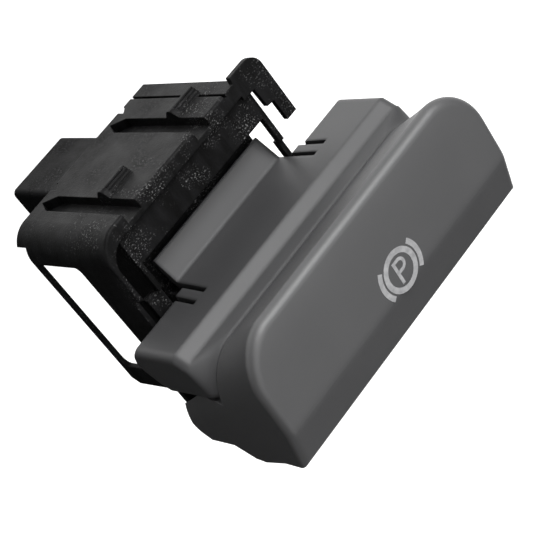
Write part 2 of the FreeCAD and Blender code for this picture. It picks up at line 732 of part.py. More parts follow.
# Base frame: plate under the paddle with two pivot ears

def make_base_frame():
    body = new_body("base_frame")
    low = s.body_top
    high = s.body_top + s.frame_thick
    front = s.body_front
    left, right = across_mid(frame_half)
    pad(body, "XY", "frame_plate", rectangle(left, right, front, frame_back), low, high)
    opening = rectangle(pull_x - s.foot_half - 1.4, push_x + s.foot_half + 1.4,
                        plunger_front_y - s.head_radius - 0.4, plunger_rear_y + s.head_radius + 0.4)
    pocket(body, "XY", "frame_opening", opening, low, high)
    for name, inner, outward in (("left_ear", lever_left - s.ear_gap, -1),
                                 ("right_ear", lever_right + s.ear_gap, 1)):
        outer = inner + s.ear_thick * outward
        low_x, high_x = (outer, inner) if outward < 0 else (inner, outer)
        shape = rectangle(s.pivot_y - s.ear_radius, s.pivot_y + s.ear_radius, high, s.pivot_z)
        pad(body, "YZ", name, shape, low_x, high_x)
        pivot = [(s.pivot_y, s.pivot_z)]
        pad_discs(body, "YZ", f"{name}_end", pivot, s.ear_radius, low_x, high_x)
        drill(body, "YZ", f"{name}_bore", pivot, s.pin_radius + s.pin_fit, low_x, high_x)
    drill(body, "XY", "frame_screw_holes", frame_screw_places(), s.screw_radius + s.screw_play, low, high)


def frame_screw_places():
    """Places of the four screws that hold the base frame on the housing's deck."""
    inset = s.body_wall + s.screw_head
    return [
        (x, y)
        for x in (s.body_left + inset, s.body_right - inset)
        for y in (s.body_front + inset, frame_back - inset)
    ]


def floor_screw_places():
    """Places of the four screws that hold the floor, one in each column."""
    inset = s.screw_head + s.screw_inset
    return [
        (x, y)
        for x in (s.body_left + inset, s.body_right - inset)
        for y in (s.body_front + inset, s.body_back - inset)
    ]


# Switch housing: deep box with a solid deck, a top flange, a shelf and the notch for the tongue

def make_switch_housing():
    body = new_body("switch_housing")
    pad(body, "XY", "box", rectangle(s.body_left, s.body_right, s.body_front, s.body_back),
        s.body_low, s.body_top)
    pad(body, "XY", "flange", rectangle(s.flange_left, s.flange_right, s.flange_front, s.body_back),
        s.body_top - s.flange_thick, s.body_top)
    shelf_top = s.body_top - s.shelf_drop
    pad(body, "XY", "shelf", rectangle(s.shelf_left, s.flange_right, frame_back, s.flange_front),
        shelf_top - s.flange_thick, shelf_top)
    pocket(body, "XY", "shelf_step", rectangle(s.body_left - 1, s.body_right + 1, frame_back, s.flange_front),
           shelf_top, s.body_top)
    notch_low = s.tongue_low - s.foot_drop - s.foot_thick - s.notch_gap
    notch_front = -s.bezel_wall - s.notch_gap
    pocket(body, "XY", "tongue_notch", rectangle(s.notch_left, s.notch_right, notch_front, s.notch_back),
           notch_low, s.body_top)
    inside = rectangle(s.body_left + s.body_wall, s.body_right - s.body_wall,
                       s.body_front + s.body_wall, s.body_back - s.body_wall)
    pocket(body, "XY", "inside", inside, s.body_low, s.deck_low)
    inset = s.body_wall + s.column_side
    for name, left, front in (
        ("column_a", s.body_left, s.body_front),
        ("column_b", s.body_right - inset, s.body_front),
        ("column_c", s.body_left, s.body_back - inset),
        ("column_d", s.body_right - inset, s.body_back - inset),
    ):
        pad(body, "XY", name, rectangle(left, left + inset, front, front + inset), s.body_low, s.deck_low)
    well_low = s.body_top - s.well_depth
    plungers = [(pull_x, plunger_rear_y), (push_x, plunger_front_y)]
    drill(body, "XY", "spring_wells", plungers, s.head_radius + s.head_play, well_low, s.body_top)
    drill(body, "XY", "plunger_bores", plungers, s.shaft_radius + s.shaft_fit, s.deck_low, well_low)
    drill(body, "XY", "light_channel", [(s.paddle_mid, s.pivot_y)], s.guide_radius, s.deck_low, s.body_top)
    drill(body, "XY", "frame_screw_bores", frame_screw_places(), s.screw_radius + s.screw_play,
          s.body_top - s.screw_long, s.body_top)
    drill(body, "XY", "floor_screw_bores", floor_screw_places(), s.screw_radius + s.screw_play,
          s.body_low, s.body_low + s.screw_long)


def make_housing_floor():
    body = new_body("housing_floor")
    pad(body, "XY", "floor_plate", rectangle(s.body_left, s.body_right, s.body_front, s.body_back),
        floor_low, s.body_low)
    inset = s.body_wall + s.column_side + s.post_radius + 1
    posts = [
        (x, y)
        for x in (s.body_left + inset, s.body_right - inset)
        for y in (s.body_front + inset, s.body_back - inset)
    ]
    pad_discs(body, "XY", "board_posts", posts, s.post_radius, s.body_low, board_low)
    drill(body, "XY", "floor_screw_holes", floor_screw_places(), s.screw_radius + s.screw_play,
          floor_low, s.body_low)
    row_front, row_back = contact_rows()
    margin = s.contact_side + 0.6
    window = rectangle(contact_columns()[0] - margin, contact_columns()[-1] + margin,
                       row_front - margin, row_back + margin)
    pocket(body, "XY", "contact_window", window, floor_low, s.body_low)


def make_circuit_board():
    body = new_body("circuit_board")
    inset = s.body_wall + s.board_gap
    left, right = s.body_left + inset, s.body_right - inset
    front, back = s.body_front + inset, s.body_back - inset
    step = s.column_side
    outline = [
        (left + step, front), (right - step, front), (right - step, front + step), (right, front + step),
        (right, back - step), (right - step, back - step), (right - step, back), (left + step, back),
        (left + step, back - step), (left, back - step), (left, front + step), (left + step, front + step),
    ]
    pad(body, "XY", "board", outline, board_low, board_top)


def make_tactile_switches():
    switches = []
    for name, x, y in (("pull_switch", pull_x, plunger_rear_y), ("push_switch", push_x, plunger_front_y)):
        half = s.button_side / 2
        case = block(f"{name}_case", x - half, x + half, y - half, y + half,
                     board_top, board_top + s.button_body)
        button = rod(f"{name}_button", x, y, board_top + s.button_body / 2, button_top, s.button_radius)
        switches.append(fused(name, [case, button]))
    group("tactile_switches", switches)


def make_plunger(node, x, y):
    body = new_body(node)
    pad_discs(body, "XY", f"{node}_head", [(x, y)], s.head_radius, plunger_top - s.head_thick, plunger_top)
    pad_discs(body, "XY", f"{node}_shaft", [(x, y)], s.shaft_radius, plunger_low, plunger_top - s.head_thick)


def make_spring(node, x, y):
    """A plunger's compression spring between the well's bottom and the plunger's head."""
    low = s.body_top - s.well_depth + s.wire_radius + 0.05
    high = plunger_top - s.head_thick - s.wire_radius - 0.05
    tall = (high - low).value
    mean = ((s.shaft_radius + s.head_radius) / 2).value + 0.1
    wire = s.wire_radius.value
    rings = []
    steps = round(s.spring_turns.value * STEPS_A_TURN)
    for step in range(steps + 1):
        turn = 2 * math.pi * step / STEPS_A_TURN
        outward = FreeCAD.Vector(math.cos(turn), math.sin(turn), 0)
        centre = outward * mean + FreeCAD.Vector(0, 0, tall * step / steps)
        corners = []
        for side in range(WIRE_SIDES):
            angle = 2 * math.pi * side / WIRE_SIDES
            corners.append(centre + outward * (wire * math.cos(angle))
                           + FreeCAD.Vector(0, 0, wire * math.sin(angle)))
        rings.append(corners)
    spring = doc.addObject("Part::Feature", node)
    spring.Label = node
    spring.Shape = skin(rings)
    spring.Placement = FreeCAD.Placement(FreeCAD.Vector(x.value, y.value, low.value), FreeCAD.Rotation())
    NODES.append(spring)


def skin(rings):
    """A solid with flat facets through rings of corners, closed at both ends."""
    faces = [Part.Face(Part.makePolygon(ring + ring[:1])) for ring in (rings[0], rings[-1])]
    for near, far in zip(rings, rings[1:]):
        for side in range(len(near)):
            following = (side + 1) % len(near)
            for corners in ((near[side], near[following], far[following]),
                            (near[side], far[following], far[side])):
                faces.append(Part.Face(Part.makePolygon([*corners, corners[0]])))
    shell = Part.makeShell(faces)
    solid = Part.makeSolid(shell)
    return solid if solid.Volume > 0 else solid.reversed()


def make_light_guide():
    body = new_body("sign_light_guide")
    seat = inner_top(s.pivot_y - s.guide_head, s.lever_gap) - s.guide_head_thick
    centre = [(s.paddle_mid, s.pivot_y)]
    pad_discs(body, "XY", "guide_rod", centre, s.guide_radius, s.guide_low, seat)
    pad_discs(body, "XY", "guide_head", centre, s.guide_head, seat, seat + s.guide_head_thick)


def make_sign_lamp():
    half = s.lamp_side / 2
    lamp = block("sign_lamp", s.paddle_mid - half, s.paddle_mid + half, s.pivot_y - half / 2,
                 s.pivot_y + half / 2, board_top, board_top + s.lamp_tall)
    NODES.append(lamp)


def make_screws(node, places, head_low, upward):
    """Screws with a round head; the shank points away from the head."""
    screws = []
    for index, (x, y) in enumerate(places):
        head = rod(f"{node}_head_{index}", x, y, head_low, head_low + s.screw_head_tall, s.screw_head)
        if upward:
            low, high = head_low + s.screw_head_tall, head_low + s.screw_head_tall + s.screw_long
        else:
            low, high = head_low - s.screw_long, head_low
        shank = rod(f"{node}_shank_{index}", x, y, low, high, s.screw_radius)
        screws.append(fused(f"{node}_{index}", [head, shank]))
    group(node, screws)


# Connector: a socket that opens downwards, with two rows of contact pins

def contact_columns():
    middle = middle_of(s.shroud_left, s.shroud_right)
    return [middle + s.contact_pitch * (step - 1.5) for step in range(4)]


def contact_rows():
    middle = middle_of(s.shroud_front, s.shroud_back) - 0.6
    return middle - s.contact_pitch / 2, middle + s.contact_pitch / 2


def make_connector_shroud():
    body = new_body("connector_shroud")
    outer = rectangle(s.shroud_left, s.shroud_right, s.shroud_front, s.shroud_back)
    pad(body, "XY", "shroud", outer, s.shroud_low, floor_low)
    middle_z = middle_of(s.shroud_low, floor_low)
    corners = [(x, y, middle_z) for x in (s.shroud_left, s.shroud_right)
               for y in (s.shroud_front, s.shroud_back)]
    round_edges(body, "shroud_edges", s.shroud_round, corners)
    wall = s.shroud_wall
    inner = rectangle(s.shroud_left + wall, s.shroud_right - wall, s.shroud_front + wall, s.shroud_back - wall)
    pocket(body, "XY", "socket", inner, s.shroud_low, floor_low - s.shroud_base)
    half = s.contact_side / 2 + s.contact_play
    for column, x in enumerate(contact_columns()):
        for row, y in enumerate(contact_rows()):
            hole = rectangle(x - half, x + half, y - half, y + half)
            pocket(body, "XY", f"contact_hole_{column}_{row}", hole, floor_low - s.shroud_base, floor_low)


def make_contact_pins():
    half = s.contact_side / 2
    pins = [
        block(f"contact_{column}_{row}", x - half, x + half, y - half, y + half, s.contact_low, board_low)
        for column, x in enumerate(contact_columns())
        for row, y in enumerate(contact_rows())
    ]
    group("contact_pins", pins)


# Rear bracket: grooved plate, side leg with a window, and a hook, in one moulding

def make_rear_bracket():
    body = new_body("rear_bracket")
    front = s.plate_back - s.plate_thick
    inner = s.leg_outer + s.leg_thick
    band = [
        (s.plate_right, front), (s.plate_right, s.plate_back), (s.leg_outer, s.plate_back),
        (s.leg_outer, s.leg_front), (inner, s.leg_front), (inner, front),
    ]
    pad(body, "XY", "band", band, s.plate_low, s.plate_top)
    middle_z = middle_of(s.plate_low, s.plate_top)
    round_edges(body, "band_bend", s.leg_corner, [(s.leg_outer, s.plate_back, middle_z)])
    round_edges(body, "band_inner_bend", s.leg_corner - s.leg_thick, [(inner, front, middle_z)])
    over = s.leg_outer - 1
    beside = inner + 0.01
    bend_inside = s.leg_outer + s.leg_corner
    low_cut = [(s.leg_front - 1, s.plate_low - 1), (s.leg_drop_y, s.plate_low - 1),
               (s.leg_drop_y, s.leg_low), (s.leg_front + 1.5, s.leg_low),
               (s.leg_front, s.leg_low + 1.5), (s.leg_front - 1, s.leg_low + 1.5)]
    pocket(body, "YZ", "leg_lower_cut", low_cut, over, bend_inside)
    top_cut = rectangle(s.leg_front - 1, s.leg_step_y, s.plate_top - s.leg_step, s.plate_top + 1)
    pocket(body, "YZ", "leg_upper_cut", top_cut, over, beside)
    window = rectangle(s.window_front, s.window_back, s.window_low, s.window_top)
    pocket(body, "YZ", "leg_window", window, over, beside)
    leg_x = middle_of(s.leg_outer, inner)
    round_edges(body, "window_corners", s.window_round,
                [(leg_x, y, z) for y in (s.window_front, s.window_back)
                 for z in (s.window_low, s.window_top)])
    groove_front = s.plate_back - s.groove_deep
    for name, middle in (("groove_right", s.groove_a), ("groove_left", s.groove_b)):
        groove = [
            (middle - s.groove_half, s.plate_top + 1), (middle + s.groove_half, s.plate_top + 1),
            (middle + s.groove_half, s.groove_low), (middle, s.groove_tip),
            (middle - s.groove_half, s.groove_low),
        ]
        pocket(body, "XZ", name, groove, groove_front, s.plate_back + 1)
        nick_left = middle + s.groove_half + 1.5
        nick = [(nick_left, s.plate_low - 1), (nick_left + s.nick_wide, s.plate_low - 1),
                (nick_left + s.nick_wide, s.plate_low + 0.5), (nick_left, s.plate_low + s.nick_tall)]
        pocket(body, "XZ", f"{name}_nick", nick, s.plate_back - s.nick_deep, s.plate_back + 1)
    pocket(body, "XZ", "joint_line",
           rectangle(s.seam_line, s.seam_line + s.seam_line_wide, s.plate_low - 1, s.plate_top + 1),
           s.plate_back - s.seam_line_deep, s.plate_back + 1)
    section_ends = [s.leg_outer + s.leg_corner, s.groove_b - s.groove_half, s.groove_b + s.groove_half,
                    s.groove_a - s.groove_half, s.groove_a + s.groove_half, s.seam_line]
    round_edges(body, "plate_upper_edges", s.plate_round,
                [(middle_of(near, far), s.plate_back, s.plate_top)
                 for near, far in zip(section_ends[::2], section_ends[1::2])])
    # Ribbed bumps at the right side of each groove
    for name, middle in (("right_bump", s.groove_a), ("left_bump", s.groove_b)):
        bump_left = middle + s.groove_half
        top = s.plate_back + s.bump_tall
        low = s.bump_low
        high = s.bump_low + s.bump_wide
        dome = [(s.plate_back - 0.2, low), (top - 0.3, low + s.bump_wide * 0.3),
                (top, low + s.bump_wide * 0.42), (top, low + s.bump_wide * 0.58),
                (top - 0.3, low + s.bump_wide * 0.7), (s.plate_back - 0.2, high)]
        pad(body, "YZ", name, dome, bump_left, bump_left + s.bump_long)
        for step, (share, fall) in enumerate(((0.62, 0.0), (0.75, 0.2), (0.87, 0.53))):
            channel_z = low + s.bump_wide * share
            floor_y = top - 0.3 - s.bump_tall * fall - s.rib_deep
            channel = rectangle(floor_y, top + 1, channel_z, channel_z + s.rib_deep)
            pocket(body, "YZ", f"{name}_channel_{step}", channel, bump_left + 1.2,
                   bump_left + s.bump_long)
    arm_left = s.hook_reach - s.hook_arm
    hook = [
        (s.plate_right - 1, front), (s.plate_right - 1, s.plate_back), (s.plate_right - 0.8, s.hook_back),
        (s.hook_reach, s.hook_back), (s.hook_reach, s.hook_front), (arm_left, s.hook_front),
        (arm_left, s.hook_front + 4.8), (arm_left - 1.8, s.hook_front + 5.0),
        (arm_left - 2.0, s.hook_base_y), (s.plate_right - 1, s.hook_base_y),
    ]
    pad(body, "XY", "hook", hook, s.plate_top - s.hook_thick, s.plate_top)
    round_edges(body, "hook_round", s.hook_round,
                [(s.hook_reach, s.hook_back, s.plate_top - s.hook_thick / 2)])


make_paddle_cap()
make_paddle_base()
make_paddle_lever()
make_pivot_pins()
make_bezel()
make_base_frame()
make_switch_housing()
make_housing_floor()
make_circuit_board()
make_tactile_switches()
make_plunger("pull_plunger", pull_x, plunger_rear_y)
make_plunger("push_plunger", push_x, plunger_front_y)
make_spring("pull_spring", pull_x, plunger_rear_y)
make_spring("push_spring", push_x, plunger_front_y)
make_light_guide()
make_sign_lamp()
make_screws("frame_screws", frame_screw_places(), s.body_top + s.frame_thick, False)
make_screws("floor_screws", floor_screw_places(), floor_low - s.screw_head_tall, True)
make_connector_shroud()
make_contact_pins()
make_rear_bracket()
doc.recompute()

# Every feature must have worked, and every cut must have taken material away
for item in doc.Objects:
    if "Invalid" in item.State or "Error" in item.State:
        raise RuntimeError(f"{item.Label} failed: {item.State} {item.getStatusString()}")
for cut in CUTS:
    if cut.Shape.Volume > cut.BaseFeature.Shape.Volume - 1e-6:
        raise RuntimeError(f"{cut.Label} cuts nothing")
os.makedirs("parts", exist_ok=True)
for node in NODES:
    shape = node.Shape
    if shape.isNull() or not shape.isValid() or not shape.Solids:
        raise RuntimeError(f"{node.Label} has no valid solid")
    print(f"{node.Label}: {len(shape.Solids)} solid(s), {shape.Volume:.1f} mm3")
for node in NODES:
    node.Shape.exportStep(f"parts/{node.Label}.step")
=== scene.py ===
import math
import bmesh
import bpy
from mathutils import Matrix, Vector


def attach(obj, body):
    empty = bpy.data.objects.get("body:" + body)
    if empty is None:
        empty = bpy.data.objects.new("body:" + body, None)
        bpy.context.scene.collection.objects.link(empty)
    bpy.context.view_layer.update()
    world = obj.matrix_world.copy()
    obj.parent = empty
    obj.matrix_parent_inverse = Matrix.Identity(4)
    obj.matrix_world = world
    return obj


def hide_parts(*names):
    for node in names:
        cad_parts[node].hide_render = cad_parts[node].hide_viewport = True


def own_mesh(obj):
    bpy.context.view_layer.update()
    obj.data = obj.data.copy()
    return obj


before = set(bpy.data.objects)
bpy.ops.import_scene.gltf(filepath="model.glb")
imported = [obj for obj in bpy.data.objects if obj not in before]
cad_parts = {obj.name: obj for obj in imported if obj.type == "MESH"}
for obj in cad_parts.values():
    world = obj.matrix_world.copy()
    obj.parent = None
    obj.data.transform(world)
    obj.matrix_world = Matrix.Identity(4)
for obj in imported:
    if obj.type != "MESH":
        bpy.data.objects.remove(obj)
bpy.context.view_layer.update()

MM = 0.001


def add_object(name, data):
    thing = bpy.data.objects.new(name, data)
    bpy.context.scene.collection.objects.link(thing)
    return thing


# Camera at the photograph's place, found from the bracket's two parallel sides
EYE = Vector((-145.49, 160.41, 287.11)) * MM
CAMERA_RIGHT = Vector((0.5709, -0.5467, 0.6125))
CAMERA_BACK = Vector((-0.3976, 0.4686, 0.7889))
SENSOR_WIDTH = 36.0
FOCAL_LENGTH = 132.39
CLIP_START = 0.01
CLIP_END = 20.0


def make_camera():
    back = CAMERA_BACK.normalized()
    right = (CAMERA_RIGHT - back * CAMERA_RIGHT.dot(back)).normalized()
    up = back.cross(right)
    data = bpy.data.cameras.new("camera")
    data.sensor_width = SENSOR_WIDTH
    data.lens = FOCAL_LENGTH
    data.clip_start = CLIP_START
    data.clip_end = CLIP_END
    camera = add_object("camera", data)
    turn = Matrix((right, up, back)).transposed().to_4x4()
    camera.matrix_world = Matrix.Translation(EYE) @ turn
    bpy.context.scene.camera = camera


# Node helpers for the materials

# Noise seldom leaves this range, so colours and gloss are spread over it
NOISE_LOW = 0.3
NOISE_HIGH = 0.7


def new_material(name):
    material = bpy.data.materials.new(name)
    material.use_nodes = True
    tree = material.node_tree
    tree.nodes.clear()
    output = tree.nodes.new("ShaderNodeOutputMaterial")
    shader = tree.nodes.new("ShaderNodeBsdfPrincipled")
    tree.links.new(shader.outputs["BSDF"], output.inputs["Surface"])
    return material, tree, shader


def feed(tree, socket, value):
    """Links another node's output to an input, or gives the input a plain value."""
    if isinstance(value, bpy.types.NodeSocket):
        tree.links.new(value, socket)
    else:
        socket.default_value = value


def noise(tree, scale, detail=4.0, roughness=0.55, stretch=None):
    """Noise over the object's own coordinates, with scale in cycles a metre."""
    coords = tree.nodes.new("ShaderNodeTexCoord")
    place = coords.outputs["Object"]
    if stretch is not None:
        mapping = tree.nodes.new("ShaderNodeMapping")
        mapping.inputs["Scale"].default_value = stretch
        tree.links.new(place, mapping.inputs["Vector"])
        place = mapping.outputs["Vector"]
    node = tree.nodes.new("ShaderNodeTexNoise")
    node.inputs["Scale"].default_value = scale
    node.inputs["Detail"].default_value = detail
    node.inputs["Roughness"].default_value = roughness
    tree.links.new(place, node.inputs["Vector"])
    return node.outputs["Fac"]


def height_above_rim(tree):
    """The object's own z, which is 0 at the bracket's upper rim."""
    coords = tree.nodes.new("ShaderNodeTexCoord")
    split = tree.nodes.new("ShaderNodeSeparateXYZ")
    tree.links.new(coords.outputs["Object"], split.inputs["Vector"])
    return split.outputs["Z"]


def ramp(tree, factor, stops):
    """Colours over a factor, as pairs of place and colour."""
    node = tree.nodes.new("ShaderNodeValToRGB")
    elements = node.color_ramp.elements
    while len(elements) < len(stops):
        elements.new(0.5)
    for element, (place, colour) in zip(elements, stops):
        element.position = place
        element.color = (*colour, 1)
    tree.links.new(factor, node.inputs["Fac"])
    return node.outputs["Color"]


def two_tone(tree, factor, dark, light):
    return ramp(tree, factor, [(NOISE_LOW, dark), (NOISE_HIGH, light)])


def mapped(tree, factor, low, high, start=NOISE_LOW, end=NOISE_HIGH):
    """A factor's range from start to end, spread from low to high."""
    node = tree.nodes.new("ShaderNodeMapRange")
    node.inputs["From Min"].default_value = start
    node.inputs["From Max"].default_value = end
    node.inputs["To Min"].default_value = low
    node.inputs["To Max"].default_value = high
    tree.links.new(factor, node.inputs["Value"])
    return node.outputs["Result"]


def combined(tree, operation, first, second):
    node = tree.nodes.new("ShaderNodeMath")
    node.operation = operation
    tree.links.new(first, node.inputs[0])
    tree.links.new(second, node.inputs[1])
    return node.outputs["Value"]


def times(tree, first, second):
    return combined(tree, "MULTIPLY", first, second)


def greater(tree, first, second):
    return combined(tree, "MAXIMUM", first, second)


def mixed(tree, factor, colour, other):
    """One colour over another by a factor."""
    node = tree.nodes.new("ShaderNodeMix")
    node.data_type = "RGBA"
    tree.links.new(factor, node.inputs["Factor"])
    feed(tree, node.inputs["A"], colour)
    feed(tree, node.inputs["B"], other)
    return node.outputs["Result"]


BEVEL_SAMPLES = 4


def bumped(tree, shader, layers, edge_round=0.0):
    """Stacks bumps on a shader; each layer is a height, a distance in metres and a strength."""
    previous = None
    if edge_round:
        rounded = tree.nodes.new("ShaderNodeBevel")
        rounded.samples = BEVEL_SAMPLES
        rounded.inputs["Radius"].default_value = edge_round
        previous = rounded.outputs["Normal"]
    for height, distance, strength in layers:
        node = tree.nodes.new("ShaderNodeBump")
        node.inputs["Strength"].default_value = strength
        node.inputs["Distance"].default_value = distance
        tree.links.new(height, node.inputs["Height"])
        if previous is not None:
            tree.links.new(previous, node.inputs["Normal"])
        previous = node.outputs["Normal"]
    tree.links.new(previous, shader.inputs["Normal"])


# Moulded plastics

PATCH_SCALE = 60.0
GRAIN_STRENGTH = 0.5
GRAIN_GLOSS = (-0.04, 0.06)


def plastic(name, dark, light, rough, grain_scale, grain_deep,
            specular=0.5, patch_scale=PATCH_SCALE, edge_round=0.0):
    """Moulded plastic: slight colour patches, grain in the relief and in the gloss."""
    material, tree, shader = new_material(name)
    patches = noise(tree, patch_scale, detail=3.0)
    grain = noise(tree, grain_scale, detail=2.0, roughness=0.6)
    smoother, rougher = GRAIN_GLOSS
    feed(tree, shader.inputs["Base Color"], two_tone(tree, patches, dark, light))
    feed(tree, shader.inputs["Roughness"], mapped(tree, grain, rough + smoother, rough + rougher))
    feed(tree, shader.inputs["Specular IOR Level"], specular)
    bumped(tree, shader, [(grain, grain_deep, GRAIN_STRENGTH)], edge_round)
    return material


# Black glass-filled plastic. Its pale specks are partly the plastic's own fibre grain and partly
# painted glints, and they gather near the upper rim as painted light where light falls on the top
CLOUD_SCALE = 140.0
CLOUD_GLOSS = (-0.08, 0.12)
CLOUD_DEEP = 0.1 * MM
CLOUD_STRENGTH = 0.2
FLOW_SCALE = 500.0
FLOW_STRETCH = (1.0, 0.25, 1.0)
FLOW_LOW = 0.35
SPECK_SCALE = 2600.0
# Colour of the pale specks: partly the fibre grain, partly painted glints
PALE_SPECK_AND_GLINT_COLOUR = (0.20, 0.20, 0.20, 1)
SPECK_RANGE = (0.57, 0.70)
SPECK_DEEP = 0.08 * MM
SPECK_STRENGTH = 0.6
SPECKED_CLOUDS = (0.47, 0.64)
# Painted light: the specks thin out below the upper rim, down to this share at this height
FEWEST_GLINTS_LOW_DOWN = 0.25
GLINTS_FADE_Z = -16.0 * MM
BLACK_EDGE_ROUND = 0.3 * MM
# Its gloss falls off towards the socket
DULLEST = 0.3
DULL_Z = -40.0 * MM
GLOSSY_Z = -18.0 * MM


def glass_filled(name, dark, light, rough, specular):
    """Black plastic with flow marks and cloudy gloss. Its pale specks are partly fibre grain and
    partly painted glints, denser towards the top as painted light.
    """
    material, tree, shader = new_material(name)
    clouds = noise(tree, CLOUD_SCALE)
    flow = noise(tree, FLOW_SCALE, detail=3.0, roughness=0.6, stretch=FLOW_STRETCH)
    specks = noise(tree, SPECK_SCALE, detail=2.0, roughness=0.7)
    height = height_above_rim(tree)
    patches = mapped(tree, clouds, 0.0, 1.0, *SPECKED_CLOUDS)
    # painted glints: the specks grow denser towards the upper rim, where light falls on the top
    painted_glints_near_rim = mapped(tree, height, FEWEST_GLINTS_LOW_DOWN, 1.0, GLINTS_FADE_Z, 0.0)
    spots = mapped(tree, specks, 0.0, 1.0, *SPECK_RANGE)
    specks_and_glints = times(tree, spots, times(tree, patches, painted_glints_near_rim))
    colour = ramp(tree, flow, [(FLOW_LOW, dark), (NOISE_HIGH, light)])
    gloss = mapped(tree, height, DULLEST * specular, specular, DULL_Z, GLOSSY_Z)
    smoother, rougher = CLOUD_GLOSS
    # the pale specks in the base colour are fibre grain and painted glints
    feed(tree, shader.inputs["Base Color"], mixed(tree, specks_and_glints, colour, PALE_SPECK_AND_GLINT_COLOUR))
    feed(tree, shader.inputs["Roughness"], mapped(tree, clouds, rough + smoother, rough + rougher))
    feed(tree, shader.inputs["Specular IOR Level"], gloss)
    relief = [(clouds, CLOUD_DEEP, CLOUD_STRENGTH), (specks, SPECK_DEEP, SPECK_STRENGTH)]
    bumped(tree, shader, relief, BLACK_EDGE_ROUND)
    return material


# Metals and clear plastic

TINT_SCALE = 400.0
TINT_SHADE = 0.8
SCRATCH_SCALE = 3000.0
SCRATCH_STRETCH = (1.0, 1.0, 0.15)
SCRATCH_GLOSS = (-0.06, 0.08)
SCRATCH_DEEP = 0.02 * MM
SCRATCH_STRENGTH = 0.3


def metal(name, colour, rough):
    """Drawn metal: fine scratches along it and a slight change of tint."""
    material, tree, shader = new_material(name)
    scratches = noise(tree, SCRATCH_SCALE, detail=3.0, roughness=0.6, stretch=SCRATCH_STRETCH)
    shade = tuple(channel * TINT_SHADE for channel in colour)
    smoother, rougher = SCRATCH_GLOSS
    feed(tree, shader.inputs["Base Color"], two_tone(tree, noise(tree, TINT_SCALE), shade, colour))
    feed(tree, shader.inputs["Roughness"], mapped(tree, scratches, rough + smoother, rough + rougher))
    feed(tree, shader.inputs["Metallic"], 1.0)
    bumped(tree, shader, [(scratches, SCRATCH_DEEP, SCRATCH_STRENGTH)])
    return material


HAZE_SCALE = 300.0
HAZE_GRAIN_SCALE = 1500.0


def clear_plastic(name, dark, light, smooth, rough, clearness):
    """Clear moulding: a slight haze, and a gloss that changes from place to place."""
    material, tree, shader = new_material(name)
    haze = noise(tree, HAZE_SCALE)
    grain = noise(tree, HAZE_GRAIN_SCALE)
    feed(tree, shader.inputs["Base Color"], two_tone(tree, haze, dark, light))
    feed(tree, shader.inputs["Roughness"], mapped(tree, grain, smooth, rough))
    feed(tree, shader.inputs["Transmission Weight"], clearness)
    return material


# The finishes of the photograph's greys and blacks, and the usual ones of what it hides
soft_grey = plastic("soft_grey", dark=(0.047, 0.047, 0.0485), light=(0.053, 0.053, 0.0545),
                    rough=0.50, grain_scale=6500.0, grain_deep=0.05 * MM, specular=0.75)
bezel_grey = plastic("bezel_grey", dark=(0.041, 0.041, 0.0425), light=(0.048, 0.048, 0.0495),
                     rough=0.47, grain_scale=6000.0, grain_deep=0.03 * MM, specular=0.4,
                     edge_round=1.1 * MM)
dark_plastic = plastic("dark_plastic", dark=(0.02, 0.02, 0.021), light=(0.03, 0.03, 0.031),
                       rough=0.5, grain_scale=4000.0, grain_deep=0.04 * MM, specular=0.3)
black_plastic = glass_filled("black_plastic", dark=(0.003, 0.003, 0.003),
                             light=(0.008, 0.008, 0.0085), rough=0.48, specular=0.08)
white_plastic = plastic("white_plastic", dark=(0.68, 0.68, 0.65), light=(0.76, 0.76, 0.73),
                        rough=0.4, grain_scale=4000.0, grain_deep=0.02 * MM)
sign_paint = plastic("sign_paint", dark=(0.22, 0.22, 0.225), light=(0.33, 0.33, 0.335),
                     rough=0.5, grain_scale=9000.0, grain_deep=0.02 * MM, specular=0.3,
                     patch_scale=900.0)
board_green = plastic("board", dark=(0.012, 0.11, 0.05), light=(0.02, 0.15, 0.07),
                      rough=0.3, grain_scale=4000.0, grain_deep=0.02 * MM)
steel = metal("steel", colour=(0.56, 0.56, 0.57), rough=0.3)
contact_metal = metal("contact_metal", colour=(0.78, 0.66, 0.38), rough=0.28)
clear = clear_plastic("clear_plastic", dark=(0.85, 0.88, 0.88), light=(0.93, 0.95, 0.95),
                      smooth=0.12, rough=0.2, clearness=0.9)

FINISHES = {
    "paddle_cap": soft_grey,
    "paddle_base": dark_plastic,
    "paddle_lever": dark_plastic,
    "sign_light_guide": clear,
    "pivot_pins": steel,
    "bezel": bezel_grey,
    "base_frame": black_plastic,
    "switch_housing": black_plastic,
    "housing_floor": black_plastic,
    "circuit_board": board_green,
    "tactile_switches": dark_plastic,
    "pull_plunger": white_plastic,
    "push_plunger": white_plastic,
    "pull_spring": steel,
    "push_spring": steel,
    "sign_lamp": clear,
    "frame_screws": steel,
    "floor_screws": steel,
    "connector_shroud": black_plastic,
    "contact_pins": contact_metal,
    "rear_bracket": black_plastic,
}


def finish_nodes():
    for node, material in FINISHES.items():
        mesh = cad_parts[node].data
        mesh.materials.clear()
        mesh.materials.append(material)


# The paddle's cap with a soft crown: its sign face rises in the middle and falls to the rear rim

# The flat sign face of the solid, in mm: its rear rim and how it slopes
RIM_Y = 4.6
RIM_Z = 33.6
FACE_SLOPE = 0.0971
# The crown, in mm
CROWN_LIFT = 0.35
CROWN_FRONT_Y = -24.0
CROWN_LEVEL_Y = -16.0
RIM_DROP = 0.85
RIM_REACH = 3.2
CROWN_FOOT_Z = 22.0
CROWN_FULL_Z = 30.0
# The cuts that give the cap's mesh enough points to bend, in mm
CUT_STEP_Y = 0.5
CUT_LAST_Y = 5.5
CUT_STEP_Z = 1.0
CUT_LAST_Z = 32.0
CUT_SNAP = 0.002
WELD_REACH = 0.004
SMOOTH_ANGLE = math.radians(25.0)


def share_between(value, start, end):
    return min(1.0, max(0.0, (value - start) / (end - start)))


